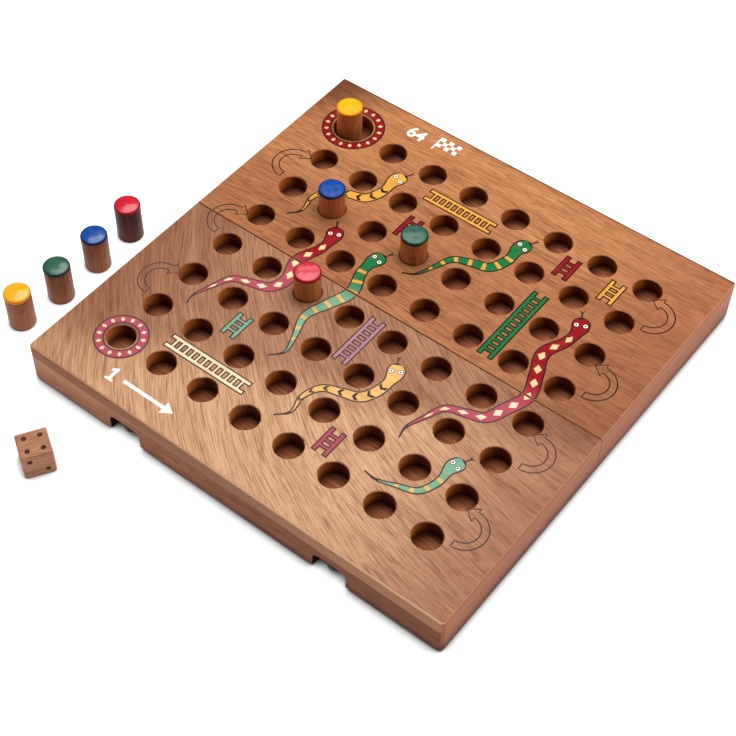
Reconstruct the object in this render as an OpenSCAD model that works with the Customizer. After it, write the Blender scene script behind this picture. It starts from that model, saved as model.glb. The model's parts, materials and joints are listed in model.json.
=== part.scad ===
// Folding peg board for a race game, with its pegs and die.
// Millimetres. The origin is on the table under the middle of the open board, with X along the seam,
// Y from the front half to the rear half and Z up.

/* [Board] */
// Distance between the centres of neighbouring peg holes
hole_pitch = 27; // [25:0.5:29]
// Edge of the board to the centres of the outer holes
edge_margin = 33; // [29:0.5:36]
// Thickness of a drilled top plate, which is the depth of the peg holes
plate_t = 8; // [7:0.5:11]
// Thickness of the base under a top plate
base_t = 16; // [15:0.5:20]
// Gap between the halves when the board lies open
seam_gap = 0.4; // [0.3:0.1:0.8]
// Gap between the rims of the halves when the board is folded
closing_gap = 0.3; // [0.2:0.1:0.6]
// Rounding of the upper outer edges
edge_round = 1.6; // [1:0.1:2.5]
// Rounding of the upright outer corners
corner_round = 3; // [1.5:0.5:4]
// Rounding of the lower outer edges
foot_round = 1; // [0.5:0.1:1.5]
// Rounding of the upper edges at the seam
seam_round = 0.4; // [0.2:0.1:0.8]

/* [Peg holes] */
// How much wider a peg hole is than a peg
hole_play = 0.7; // [0.6:0.1:2]
// Width of the bevel round a hole's mouth
hole_bevel = 0.4; // [0.2:0.1:1]
// How much wider the hole at the end of the track is than the others
finish_widening = 7; // [3:0.5:9]
// How far the larger hole lies out of its row and its column, towards the corner
finish_shift = 3; // [0:0.5:4]

/* [Trays] */
// Depth of the tray routed into a half from below
tray_depth = 11; // [8:0.5:12]
// Wall between a tray and the side of the board
side_wall = 14; // [10:0.5:20]
// Wall between a tray and the outer edge that carries the closure
front_wall = 18; // [16:0.5:24]
// Wall between a tray and the seam
seam_wall = 14; // [12:0.5:18]
// Rounding of a tray's corners
tray_round = 8; // [4:0.5:12]

/* [Closure] */
// Width of a closure notch
notch_w = 19.5; // [16:0.5:24]
// Height of a closure notch above the rim
notch_h = 11; // [10.5:0.5:13]
// Depth of a closure notch behind the outer edge
notch_depth = 5.5; // [5.2:0.1:8]
// Rounding of a notch's upper corners
notch_round = 4; // [2:0.5:5]
// Height of a stud's axis above the rim
stud_height = 5.6; // [5.4:0.1:7.2]
// Diameter of a stud's neck
stud_neck_d = 3; // [2.5:0.1:3.4]
// Diameter of a stud's head
stud_head_d = 5.8; // [5.4:0.1:6.4]
// Thickness of a stud's head
stud_head_t = 1.8; // [1.2:0.1:2.2]
// Radius of the dome on a stud's head
stud_dome_r = 3.6; // [3.3:0.1:5]
// How far a stud's head lies behind the outer edge
stud_set_back = 0.8; // [0.5:0.1:1]
// Length of a stud in the wood
stud_grip = 6; // [4:0.5:8]
// Bore of a rubber ring
ring_bore_d = 4.4; // [4:0.1:5]
// Thickness of a rubber ring's cord
ring_cord_d = 1.7; // [1.2:0.1:2]

/* [Hinges] */
// Distance between the middles of the two hinges
hinge_spacing = 150; // [120:5:180]
// Length of a hinge along the seam
hinge_w = 30; // [25:1:40]
// Depth of a hinge leaf from the hinge's axis
leaf_d = 10; // [8.5:0.5:11]
// Thickness of a hinge leaf
leaf_t = 0.8; // [0.6:0.1:1]
// Diameter of the hinge's knuckles
knuckle_d = 2.5; // [2.2:0.1:3]
// Diameter of the hinge pin
hinge_pin_d = 1.2; // [1:0.1:1.4]
// Diameter of a hinge screw's shank
screw_d = 1.8; // [1.4:0.1:2]
// Diameter of a hinge screw's countersunk head
screw_head_d = 3.4; // [3:0.1:3.8]
// Length of a hinge screw in the wood
screw_grip = 7; // [5:0.5:9]
// End of a hinge to the axis of its nearest screw
screw_inset = 6; // [4:0.5:8]
// Width of the slot in a screw's head
slot_w = 0.5; // [0.3:0.1:0.7]
// Depth of the slot in a screw's head
slot_depth = 0.4; // [0.2:0.1:0.5]

/* [Pegs] */
// Diameter of a peg
peg_d = 14.5; // [12:0.1:16]
// Height of a peg
peg_h = 23.6; // [18:0.2:30]
// Rounding of a peg's edges
peg_round = 0.7; // [0.3:0.1:1.5]

/* [Die] */
// Edge length of the die
die_size = 16; // [12:0.5:20]
// Rounding of the die's edges
die_round = 1; // [0.5:0.1:2]
// Diameter of a pip
pip_d = 2.4; // [1.6:0.1:3]
// Depth of a pip
pip_depth = 0.6; // [0.3:0.1:1]
// Middle of a face to a row of pips, which is also the distance between neighbouring rows
pip_step = 4; // [3.4:0.1:4.4]

/* [Loose pieces on the table] */
// Left edge of the board to the row of loose pegs
loose_row_gap = 29.5; // [15:0.5:50]
// Seam to the first loose peg
loose_row_start = 23.5; // [10:0.5:40]
// Distance between neighbouring loose pegs
loose_row_step = 27; // [18:0.5:32]
// Left edge of the board to the middle of the die
die_inset = 39.5; // [20:0.5:120]
// Front edge of the board to the middle of the die
die_gap = 37; // [20:0.5:60]
// Turn of the die on the table, in degrees
die_turn = 58; // [0:1:90]

/* [Hidden] */
// How far a cut runs past the face that it opens
overrun = 1;
// Play between a screw or a stud and its hole, on each side
fastener_play = 0.02;
// Running clearance between a hinge pin and its knuckles, on each side
pin_play = 0.03;
// Gap between the ends of neighbouring knuckles
knuckle_end_gap = 0.2;
// Gap between a knuckle and the edge of the opposite leaf
leaf_gap = 0.25;
// Gap between the knuckles and the groove round them
groove_gap = 0.4;
// Gap between a hinge leaf and the sides of its mortise
mortise_gap = 0.1;
// Gap between a hanging ring and the neck that carries it
ring_play = 0.05;

holes_per_side = 8;
knuckles = 5;
// Column and row of the holes in which pegs stand
blue_hole = [1, 5];
green_hole = [3, 5];
red_hole = [2, 3];
finish_hole = [0, 7];
// How far the peg in the larger hole leans off its middle, as shares of the play that it has there
lean_shares = [-0.5, -0.3];
// How far each loose peg stands off its even place, as shares of a peg's diameter
stray_shares = [[-0.04, 0.01], [0.06, -0.01], [0.08, -0.1], [-0.12, -0.02]];
// Places of a die's pips for one to six, in steps from the middle of the face
pip_places = [
    [[0, 0]],
    [[-1, 1], [1, -1]],
    [[-1, 1], [0, 0], [1, -1]],
    [[-1, -1], [-1, 1], [1, -1], [1, 1]],
    [[-1, -1], [-1, 1], [0, 0], [1, -1], [1, 1]],
    [[-1, -1], [-1, 0], [-1, 1], [1, -1], [1, 0], [1, 1]]
];
// Turns that bring the top of the die to each face, from the face with one pip to the face with six
face_turns = [[0, -90, 0], [90, 0, 0], [180, 0, 0], [0, 0, 0], [-90, 0, 0], [0, 90, 0]];

board_w = (holes_per_side - 1) * hole_pitch + 2 * edge_margin;
half_d = board_w / 2;
axis_z = knuckle_d / 2;
rim_z = axis_z + closing_gap / 2;
plate_z = rim_z + base_t;
top_z = plate_z + plate_t;
hole_d = peg_d + hole_play;
finish_d = hole_d + finish_widening;
notch_x = board_w / 4;
hinge_x = hinge_spacing / 2;
leaf_edge = knuckle_d / 2 + leaf_gap;
knuckle_step = hinge_w / knuckles;
screw_x = hinge_w / 2 - screw_inset;
screw_y = (leaf_d + leaf_edge) / 2;
stud_z = rim_z + stud_height;
neck_l = notch_depth - stud_set_back - stud_head_t;
ring_r = (ring_bore_d + ring_cord_d) / 2;
ring_drop = (ring_bore_d - stud_neck_d) / 2 - ring_play;
lean = (finish_d - peg_d) / 2;

wood = "peru";
dark_wood = "sienna";
brass = "darkgoldenrod";
steel = "dimgray";
rubber = "#222222";
yellow_paint = "#f5b21a";
green_paint = "#2f5f4a";
blue_paint = "#1f4ba5";
red_paint = "#c8102e";

$fn = 64;

// Middle of the hole in a column and a row, counted from the front left corner
function hole_at(place) = [
    (place[0] - (holes_per_side - 1) / 2) * hole_pitch,
    (place[1] - (holes_per_side - 1) / 2) * hole_pitch
];
finish_at = hole_at(finish_hole) + [-finish_shift, finish_shift];

// Copies a shape to the other side of the middle plane across the seam
module both_sides() {
    children();
    mirror([1, 0, 0])
        children();
}

// Turns a shape of the front half into that of the rear half
module to_rear() {
    mirror([0, 1, 0])
        children();
}

// What a rounding takes off a square corner at the origin
module corner_waste(radius) {
    difference() {
        translate([-overrun, -overrun])
            square(radius + overrun);
        translate([radius, radius])
            circle(radius);
    }
}

// What a rounding takes off an upright edge
module edge_waste(radius, length) {
    translate([0, 0, -overrun])
        linear_extrude(length + 2 * overrun)
            corner_waste(radius);
}

// Roundings of the outer edge and both side edges of the front half's upper face, with that face at zero
module rim_waste(radius) {
    translate([-board_w / 2, -half_d, 0])
        rotate([0, 90, 0])
            edge_waste(radius, board_w);
    both_sides()
        translate([-board_w / 2, -half_d, 0])
            rotate([-90, 0, 0])
                edge_waste(radius, half_d);
}

// Rounding of the front half's upper edge at the seam, with the upper face at zero
module seam_waste(radius) {
    translate([-board_w / 2, -seam_gap / 2, 0])
        rotate([0, 90, 0])
            mirror([0, 1, 0])
                edge_waste(radius, board_w);
}

// One layer of the front half, with rounded upright corners
module half_layer(level, thickness) {
    difference() {
        translate([-board_w / 2, -half_d, level])
            cube([board_w, half_d - seam_gap / 2, thickness]);
        both_sides()
            translate([-board_w / 2, -half_d, level])
                edge_waste(corner_round, thickness);
    }
}

// A drilled hole with a bevelled mouth
module peg_hole(place, diameter) {
    translate([place[0], place[1], plate_z - overrun])
        cylinder(h = plate_t + 2 * overrun, d = diameter);
    translate([place[0], place[1], top_z - hole_bevel])
        cylinder(h = hole_bevel + overrun, d1 = diameter, d2 = diameter + 2 * (hole_bevel + overrun));
}

module plate_blank() {
    difference() {
        half_layer(plate_z, plate_t);
        translate([0, 0, top_z]) {
            rim_waste(edge_round);
            seam_waste(seam_round);
        }
    }
}

module front_top_plate() {
    color(wood)
        difference() {
            plate_blank();
            for (row = [0 : holes_per_side / 2 - 1], column = [0 : holes_per_side - 1])
                peg_hole(hole_at([column, row]), hole_d);
        }
}

module rear_top_plate() {
    color(wood)
        difference() {
            to_rear()
                plate_blank();
            for (row = [holes_per_side / 2 : holes_per_side - 1], column = [0 : holes_per_side - 1])
                if ([column, row] != finish_hole)
                    peg_hole(hole_at([column, row]), hole_d);
            peg_hole(finish_at, finish_d);
        }
}

// The tray of the front half, routed with round corners
module tray_cut() {
    length = board_w - 2 * side_wall;
    depth = half_d - front_wall - seam_wall;
    translate([0, -seam_wall - depth / 2, rim_z - overrun])
        linear_extrude(tray_depth + overrun) {
            square([length, depth - 2 * tray_round], center = true);
            square([length - 2 * tray_round, depth], center = true);
            for (x = [-1, 1], y = [-1, 1])
                translate([x * (length / 2 - tray_round), y * (depth / 2 - tray_round)])
                    circle(tray_round);
        }
}

// Outline of a closure notch, with the rim at zero
module notch_outline() {
    translate([-notch_w / 2, -overrun])
        square([notch_w, notch_h - notch_round + overrun]);
    translate([-notch_w / 2 + notch_round, -overrun])
        square([notch_w - 2 * notch_round, notch_h + overrun]);
    for (x = [-1, 1])
        translate([x * (notch_w / 2 - notch_round), notch_h - notch_round])
            circle(notch_round);
}

// A closure notch and the hole for its stud
module notch_cut() {
    translate([notch_x, notch_depth - half_d, rim_z])
        rotate([90, 0, 0])
            linear_extrude(notch_depth + overrun)
                notch_outline();
    translate([notch_x, notch_depth - half_d - overrun, stud_z])
        rotate([-90, 0, 0])
            cylinder(h = stud_grip + overrun, d = stud_neck_d + 2 * fastener_play);
}

// Places of a hinge's two screws in the front leaf, with the rim at zero
module at_screws() {
    for (x = [-screw_x, screw_x])
        translate([x, -screw_y, rim_z])
            children();
}

// The mortise for a hinge leaf, the groove for its knuckles and the holes for its screws
module hinge_cut() {
    length = hinge_w + 2 * mortise_gap;
    translate([-length / 2, -leaf_d - mortise_gap, rim_z - overrun])
        cube([length, leaf_d + mortise_gap, leaf_t + overrun]);
    groove_d = knuckle_d / 2 + groove_gap;
    translate([-length / 2, -groove_d, rim_z - overrun])
        cube([length, groove_d, axis_z + groove_d - rim_z + overrun]);
    at_screws()
        cylinder(h = leaf_t + screw_grip, d = screw_d + 2 * fastener_play);
}

module base_blank() {
    difference() {
        half_layer(rim_z, base_t);
        translate([0, 0, rim_z])
            mirror([0, 0, 1])
                rim_waste(foot_round);
        tray_cut();
        both_sides() {
            notch_cut();
            translate([hinge_x, 0, 0])
                hinge_cut();
        }
    }
}

module front_base() {
    color(dark_wood)
        base_blank();
}

module rear_base() {
    color(dark_wood)
        to_rear()
            base_blank();
}

// A hinge leaf of the front half with every second knuckle, beginning with the given one
module hinge_leaf(first_knuckle) {
    difference() {
        union() {
            translate([-hinge_w / 2, -leaf_d, rim_z])
                cube([hinge_w, leaf_d - leaf_edge, leaf_t]);
            for (k = [first_knuckle : 2 : knuckles - 1])
                translate([k * knuckle_step - (hinge_w - knuckle_end_gap) / 2, 0, 0])
                    knuckle();
        }
        hinge_rod(hinge_pin_d + 2 * pin_play, hinge_w + 2 * overrun);
        at_screws()
            countersink(fastener_play);
    }
}

// One knuckle and the tongue that joins it to its leaf
module knuckle() {
    length = knuckle_step - knuckle_end_gap;
    translate([0, -leaf_edge, rim_z])
        cube([length, leaf_edge, leaf_t]);
    translate([0, 0, axis_z])
        rotate([0, 90, 0])
            cylinder(h = length, d = knuckle_d);
}

// A rod on the hinge's axis
module hinge_rod(diameter, length) {
    translate([-length / 2, 0, axis_z])
        rotate([0, 90, 0])
            cylinder(h = length, d = diameter);
}

// A screw's tapered head, grown by the play that it has in the leaf
module countersink(play) {
    cylinder(h = leaf_t, d1 = screw_head_d + 2 * play, d2 = screw_d + 2 * play);
}

// A slotted hinge screw, flush with the leaf
module hinge_screw() {
    difference() {
        union() {
            countersink(0);
            translate([0, 0, leaf_t])
                cylinder(h = screw_grip, d = screw_d);
        }
        translate([-screw_head_d / 2, -slot_w / 2, -overrun])
            cube([screw_head_d, slot_w, slot_depth + overrun]);
    }
}

module screw_set() {
    color(brass)
        both_sides()
            translate([hinge_x, 0, 0])
                at_screws()
                    hinge_screw();
}

module left_hinge_front_leaf() {
    color(brass)
        translate([-hinge_x, 0, 0])
            hinge_leaf(0);
}

module right_hinge_front_leaf() {
    color(brass)
        translate([hinge_x, 0, 0])
            hinge_leaf(0);
}

module left_hinge_rear_leaf() {
    color(brass)
        translate([-hinge_x, 0, 0])
            to_rear()
                hinge_leaf(1);
}

module right_hinge_rear_leaf() {
    color(brass)
        translate([hinge_x, 0, 0])
            to_rear()
                hinge_leaf(1);
}

module left_hinge_pin() {
    color(brass)
        translate([-hinge_x, 0, 0])
            hinge_rod(hinge_pin_d, hinge_w);
}

module right_hinge_pin() {
    color(brass)
        translate([hinge_x, 0, 0])
            hinge_rod(hinge_pin_d, hinge_w);
}

module front_hinge_screws() {
    screw_set();
}

module rear_hinge_screws() {
    to_rear()
        screw_set();
}

// The closure stud of the front half's right notch
module closure_stud() {
    color(steel)
        translate([notch_x, notch_depth + stud_grip - half_d, stud_z])
            rotate([90, 0, 0]) {
                cylinder(h = stud_grip + neck_l, d = stud_neck_d);
                translate([0, 0, stud_grip + neck_l])
                    intersection() {
                        cylinder(h = stud_head_t, d = stud_head_d);
                        translate([0, 0, stud_head_t - stud_dome_r])
                            sphere(stud_dome_r);
                    }
            }
}

module front_right_stud() {
    closure_stud();
}

module front_left_stud() {
    mirror([1, 0, 0])
        closure_stud();
}

module rear_right_stud() {
    to_rear()
        closure_stud();
}

module rear_left_stud() {
    to_rear()
        mirror([1, 0, 0])
            closure_stud();
}

// A rubber ring that hangs on the neck of the front half's right stud
module right_rubber_ring() {
    color(rubber)
        translate([notch_x, notch_depth - half_d - neck_l / 2, stud_z - ring_drop])
            rotate([90, 0, 0])
                rotate_extrude()
                    translate([ring_r, 0])
                        circle(d = ring_cord_d);
}

module left_rubber_ring() {
    mirror([1, 0, 0])
        right_rubber_ring();
}

// A turned peg, with the level of its foot
module peg(place, level) {
    translate([place[0], place[1], level])
        rotate_extrude()
            difference() {
                square([peg_d / 2, peg_h]);
                translate([peg_d / 2, peg_h])
                    rotate(180)
                        corner_waste(peg_round);
                translate([peg_d / 2, 0])
                    rotate(90)
                        corner_waste(peg_round);
            }
}

// A peg on the table, counted from the seam
module loose_peg(number) {
    peg([
        stray_shares[number][0] * peg_d - board_w / 2 - loose_row_gap,
        stray_shares[number][1] * peg_d - loose_row_start - number * loose_row_step
    ], 0);
}

module board_yellow_peg() {
    color(yellow_paint)
        peg(finish_at + lean * lean_shares, plate_z);
}

module board_blue_peg() {
    color(blue_paint)
        peg(hole_at(blue_hole), plate_z);
}

module board_green_peg() {
    color(green_paint)
        peg(hole_at(green_hole), plate_z);
}

module board_red_peg() {
    color(red_paint)
        peg(hole_at(red_hole), plate_z);
}

module loose_red_peg() {
    color(red_paint)
        loose_peg(0);
}

module loose_blue_peg() {
    color(blue_paint)
        loose_peg(1);
}

module loose_green_peg() {
    color(green_paint)
        loose_peg(2);
}

module loose_yellow_peg() {
    color(yellow_paint)
        loose_peg(3);
}

// A cube with rounded edges, on its middle
module die_blank() {
    difference() {
        cube(die_size, center = true);
        for (turn = [[0, 0, 0], [90, 0, 0], [0, 90, 0]], quarter = [0 : 90 : 270])
            rotate(turn)
                rotate(quarter)
                    translate([-die_size / 2, -die_size / 2, -die_size / 2])
                        edge_waste(die_round, die_size);
    }
}

module die() {
    color(wood)
        translate([die_inset - board_w / 2, -half_d - die_gap, die_size / 2])
            rotate(die_turn)
                difference() {
                    die_blank();
                    for (face = [0 : len(pip_places) - 1], place = pip_places[face])
                        rotate(face_turns[face])
                            translate([place[0] * pip_step, place[1] * pip_step, die_size / 2 - pip_depth])
                                cylinder(h = pip_depth + overrun, d = pip_d);
                }
}

front_base();
front_top_plate();
rear_base();
rear_top_plate();
left_hinge_front_leaf();
left_hinge_rear_leaf();
left_hinge_pin();
right_hinge_front_leaf();
right_hinge_rear_leaf();
right_hinge_pin();
front_hinge_screws();
rear_hinge_screws();
front_left_stud();
front_right_stud();
rear_left_stud();
rear_right_stud();
left_rubber_ring();
right_rubber_ring();
board_yellow_peg();
board_blue_peg();
board_green_peg();
board_red_peg();
loose_red_peg();
loose_blue_peg();
loose_green_peg();
loose_yellow_peg();
die();
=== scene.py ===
import json
import math

import bmesh
import bpy
import numpy as np
from mathutils import Matrix, Vector


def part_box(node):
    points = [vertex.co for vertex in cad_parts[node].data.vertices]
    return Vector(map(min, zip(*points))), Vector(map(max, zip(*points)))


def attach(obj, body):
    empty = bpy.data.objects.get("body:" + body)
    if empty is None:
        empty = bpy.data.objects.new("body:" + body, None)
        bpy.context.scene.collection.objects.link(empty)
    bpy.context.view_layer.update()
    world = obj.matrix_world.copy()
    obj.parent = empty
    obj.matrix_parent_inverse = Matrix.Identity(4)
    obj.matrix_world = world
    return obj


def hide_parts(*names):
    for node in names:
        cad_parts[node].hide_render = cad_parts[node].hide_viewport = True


# Looks of a folding wooden peg board for a race game, with its pegs and die.
# Metres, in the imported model's frame: X along the seam, Y from the front half to the rear half, Z up.

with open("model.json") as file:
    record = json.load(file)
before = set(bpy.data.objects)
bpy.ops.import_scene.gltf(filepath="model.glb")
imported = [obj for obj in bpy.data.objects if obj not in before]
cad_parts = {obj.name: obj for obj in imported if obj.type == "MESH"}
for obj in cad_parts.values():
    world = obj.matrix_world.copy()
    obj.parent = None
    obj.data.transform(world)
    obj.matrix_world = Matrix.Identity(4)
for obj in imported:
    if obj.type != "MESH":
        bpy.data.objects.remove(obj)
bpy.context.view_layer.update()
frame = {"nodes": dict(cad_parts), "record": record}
MM = 0.001

# Places and sizes that come from the model
PLATE_LOW, PLATE_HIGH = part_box("front_top_plate")
TOP = PLATE_HIGH.z
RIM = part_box("front_base")[0].z
BOARD_EDGE = PLATE_HIGH.x
STUD_LOW, STUD_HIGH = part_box("front_right_stud")

# The same in millimetres, for the materials
TOP_MM = TOP / MM
RIM_MM = RIM / MM
EDGE_MM = BOARD_EDGE / MM
GLUE_MM = PLATE_LOW.z / MM
STUD_X_MM = (STUD_LOW.x + STUD_HIGH.x) / 2 / MM
STUD_Z_MM = (STUD_LOW.z + STUD_HIGH.z) / 2 / MM

# The playing face
HOLE_PITCH = 27 * MM
HOLE_MOUTH_R = 8 * MM
FINISH_MOUTH_R = 11.5 * MM
FINISH_AT = np.array((-97.5, 97.5)) * MM
START_AT = np.array((-94.5, -94.5)) * MM
LAST_COLUMN_X = 94.5 * MM

# The underside, in mm
TRAY_ROOF = (RIM + 11 * MM) / MM
TRAY_X = EDGE_MM - 14.0
TRAY_Y = (14.0, EDGE_MM - 18.0)
NOTCH_HALF_W = 9.75
NOTCH_H = 11.0
NOTCH_BACK = EDGE_MM - 9.0

# Printed ink: thickness of a film, width of the dark outline, step along a curve, bare strip beside the seam
INK = 0.03 * MM
OUTLINE = 0.75 * MM
INK_STEP = 1.2 * MM
SEAM_CLEAR = 0.75 * MM

# Length over which a painted end waves, for each radian
LUMP_L = 1.5 * MM

# How the grain runs: its slow drift as length and width in mm, how much of the drift shows on the sides,
# how far a face leans before it counts as a side, the depth at which the sides are cut in mm, and where the
# swept grain is straight again, in mm to the right
DRIFT_L, DRIFT_W = 130.0, 45.0
DRIFT_SEED = 3.1
SIDE_DRIFT = 0.3
SIDE_LEAN = 0.6
SIDE_DEPTH = 40.0
SWEEP_FROM = 150.0

# Streaks of the wood: length and width in mm, step of the seed, detail
STREAKS = {
    "bands": (300.0, 11.0, 0.0, 3.0),
    "clouds": (70.0, 34.0, 13.0, 2.0),
    "fibres": (40.0, 0.5, 5.0, 2.0),
    "flecks": (11.0, 1.5, 17.0, 1.0),
    "ripple": (3.5, 12.0, 21.0, 1.0),
    "pores": (12.0, 0.52, 9.0, 1.0),
    "stripes": (120.0, 3.0, 33.0, 2.0),
    "figure": (110.0, 12.0, 41.0, 3.0),
}

# Layers over the bands: streaks, tone, the streaks' values between which it sets in, and its share at both
LAYERS = (
    ("clouds", "middle", 0.35, 0.65, 0.2, 0.9),
    ("stripes", "light", 0.5, 0.7, 0.0, 0.28),
    ("stripes", "dark", 0.5, 0.3, 0.0, 0.28),
    ("ripple", "dark", 0.5, 0.75, 0.0, 0.25),
    ("fibres", "dark", 0.42, 0.7, 0.0, 0.4),
    ("flecks", "light", 0.5, 0.7, 0.0, 0.35),
)

# Dark growth lines and pores: the streaks' values between which they set in, and their share at both
GROWTH_LINE = (0.0, 0.025, 0.3, 0.0)
PORE = (0.54, 0.6, 0.0, 1.0)

# Height of fibres and of pores in the bump, and values of fine streaks between which the gloss changes
FIBRE_RISE = 0.25
PORE_RISE = -0.8
FINE = (0.3, 0.7)

# Tones of the plates away from the plain face
REAR_CORNER_TONE = "#5c3018"
PLATE_SIDES = [(0.0, "#94542e"), (0.5, "#8c5c40"), (1.0, "#ad7351")]
# Painted light and shade in the peg holes: the walls' lit side, their shaded side, and their shade deep down
HOLE_LIT = "#e0823c"
HOLE_SHADED = "#6a2009"
HOLE_DEEP_SHADE = "#2a0a04"
PALE_GLUE = "#c2906f"
# Painted highlight on the rounded upper edges
ARRIS_HIGHLIGHT = "#e2b290"

# Tones of the bases
BASE_PORES = "#5a2f1c"
# Painted shadow on the floors of the peg holes
HOLE_FLOOR_SHADOW = "#3a1208"
BASE_LEFT = "#e0a07a"
# Painted shade at the foot of the sides and of the end faces, near the table
FOOT_SHADE = "#2a140c"
END_FOOT_SHADE = "#3a1c10"

# Tones of the burnt pips
CHAR = "#241009"
CHAR_MIDDLE = "#6a3d24"

# Tints: a tone and its full share; the soft arris tint is a painted highlight and the notch tint a painted
# shade
PLATE_END = ("#a4552f", 0.8)
SOFT_ARRIS_HIGHLIGHT = (ARRIS_HIGHLIGHT, 0.22)
REAR_ARRIS = ("#4a2e20", 0.8)
FRESH_CUT = ("#e0c0a0", 0.3)
BASE_RIGHT = ("#6e3f2a", 0.6)
BASE_END = ("#ae6444", 0.8)
# Painted shade on the walls of the notches
NOTCH_SHADE = ("#0e0604", 0.95)

# Full shares of tones that are given or reckoned elsewhere
LEFT_SHARE = 0.7
RIGHT_SHARE = 0.85
SIDES_SHARE = 0.9
WALL_SHARE = 0.8
FEWER_PORES = 0.35

# Fades along the board: from and to in mm from its middle, and the share at both
LEFT_FADE = (-122.0, -70.0, 1.0, 0.0)
RIGHT_FADE = (50.0, 125.0, 0.0, 1.0)
SIDES_FADE = (-115.0, 115.0, 0.0, 1.0)
GLUE_FADE = (-120.0, 60.0, 0.45, 0.0)
# Fade of the painted highlight along the front edge
FRONT_HIGHLIGHT_FADE = (-100.0, 60.0, 0.1, 0.85)
BASE_RIGHT_FADE = (-60.0, 120.0, 0.0, 1.0)
BASE_LEFT_FADE = (-90.0, -50.0, 1.0, 0.0)
FOOT_FADE = (-80.0, 60.0, 0.2, 1.0)
END_FOOT_FADE = (-20.0, 40.0, 1.0, 0.6)
# Fade of the inks' painted sheen on the front half across the seam
INK_FADE = (-12.0, 12.0, 0.0, 1.0)

# Fades up the sides and the hole walls: from and to in mm above the table, and the share at both
BASE_LEFT_RISE = (8.0, 15.0, 0.18, 0.5)
FOOT_RISE = (6.5, 2.0, 0.0, 0.45)
END_FOOT_RISE = (13.0, 4.0, 0.0, 0.6)
# Fade of the painted shade deep in the hole walls
HOLE_DEPTH = (TOP_MM - 2.5, TOP_MM - 7.5, 0.0, 0.5)

# Darker tone at the rear left corner: where it begins and is full in mm, and its ragged edge in mm
CORNER_FROM, CORNER_FULL = 215.0, 265.0
CORNER_RAGGED = 40.0

# Shade in the holes: across the wall and the floor in mm, and the direction in which the floor darkens
WALL_SHADE = (-7.6, -3.2, 0.0, 1.0)
FLOOR_SHADE = (-5.5, 8.0, 0.0, 0.97)
SHADE_X, SHADE_Y = -0.94, 0.34


def linear(code):
    """Linear colour of an sRGB hex code."""
    shares = [int(code[k:k + 2], 16) / 255 for k in (1, 3, 5)]
    return [s / 12.92 if s <= 0.04045 else ((s + 0.055) / 1.055) ** 2.4 for s in shares] + [1.0]


# Nodes of the materials

def add(tree, kind, sockets=None, output=0, stops=None, **settings):
    """Adds a node with its settings, fills or links its sockets, and returns one of its outputs."""
    made = tree.nodes.new("ShaderNode" + kind)
    for name, value in settings.items():
        setattr(made, name, value)
    for k, (position, tone) in enumerate(stops or []):
        ramp = made.color_ramp.elements
        stop = ramp[k] if k < len(ramp) else ramp.new(position)
        stop.position = position
        stop.color = linear(tone)
    for key, value in (sockets or {}).items():
        if isinstance(value, bpy.types.NodeSocket):
            tree.links.new(value, made.inputs[key])
        else:
            made.inputs[key].default_value = linear(value) if isinstance(value, str) else value
    return made.outputs[output] if made.outputs else None


def begin(name):
    """A new material with an empty tree."""
    material = bpy.data.materials.new(name)
    material.use_nodes = True
    material.node_tree.nodes.clear()
    return material, material.node_tree


def surface(tree, sockets):
    """Ends a material with its shader."""
    shader = add(tree, "BsdfPrincipled", sockets)
    add(tree, "OutputMaterial", {"Surface": shader})


def place_mm(tree):
    """Place on the piece in millimetres, which rides with the piece."""
    place = add(tree, "TexCoord", output="Object")
    return add(tree, "VectorMath", {0: place, "Scale": 1 / MM}, operation="SCALE")


def parts_of(tree, vector):
    """The three parts of a vector."""
    return add(tree, "SeparateXYZ", {0: vector}).node.outputs


def facing(tree):
    """The three parts of the direction in which the piece's face looks."""
    return parts_of(tree, add(tree, "TexCoord", output="Normal"))


def reckon(tree, operation, *values):
    """What a math operation makes of the values."""
    return add(tree, "Math", dict(enumerate(values)), operation=operation)


def unsigned(tree, value):
    """A value without its sign."""
    return reckon(tree, "ABSOLUTE", value)


def streaks(tree, grain, length, width, seed, detail=2.0):
    """Streaks along the first axis of the grain, of about that length and width in mm, round a half."""
    scale = (1 / length, 1 / width, 1 / width)
    stretched = add(tree, "VectorMath", {0: grain, 1: scale, 2: (seed, -seed, seed)},
                    operation="MULTIPLY_ADD")
    return add(tree, "TexNoise", {"Vector": stretched, "Scale": 1.0, "Detail": detail, "Roughness": 0.55})


def between(tree, value, low, high, start=0.0, end=1.0):
    """Brings a value from low..high to start..end, with soft ends."""
    sockets = {"Value": value, "From Min": low, "From Max": high, "To Min": start, "To Max": end}
    return add(tree, "MapRange", sockets, interpolation_type="SMOOTHSTEP")


def times(tree, *values):
    """Product of several values."""
    product = values[0]
    for value in values[1:]:
        product = reckon(tree, "MULTIPLY", product, value)
    return product


def tinted(tree, colour, tint, share, how="MIX"):
    """A colour with a share of a tint mixed in or multiplied over it."""
    return add(tree, "Mix", {0: share, 6: colour, 7: tint}, output=2, data_type="RGBA", blend_type=how)


def tinted_where(tree, colour, tone_and_share, *where, how="MIX"):
    """A colour with a tint of a tone and its full share, as far as all the masks are one; used for stains
    and for painted light and shade.
    """
    tone, share = tone_and_share
    return tinted(tree, colour, tone, times(tree, *where, share), how)


# Grain and places on the wood

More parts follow.
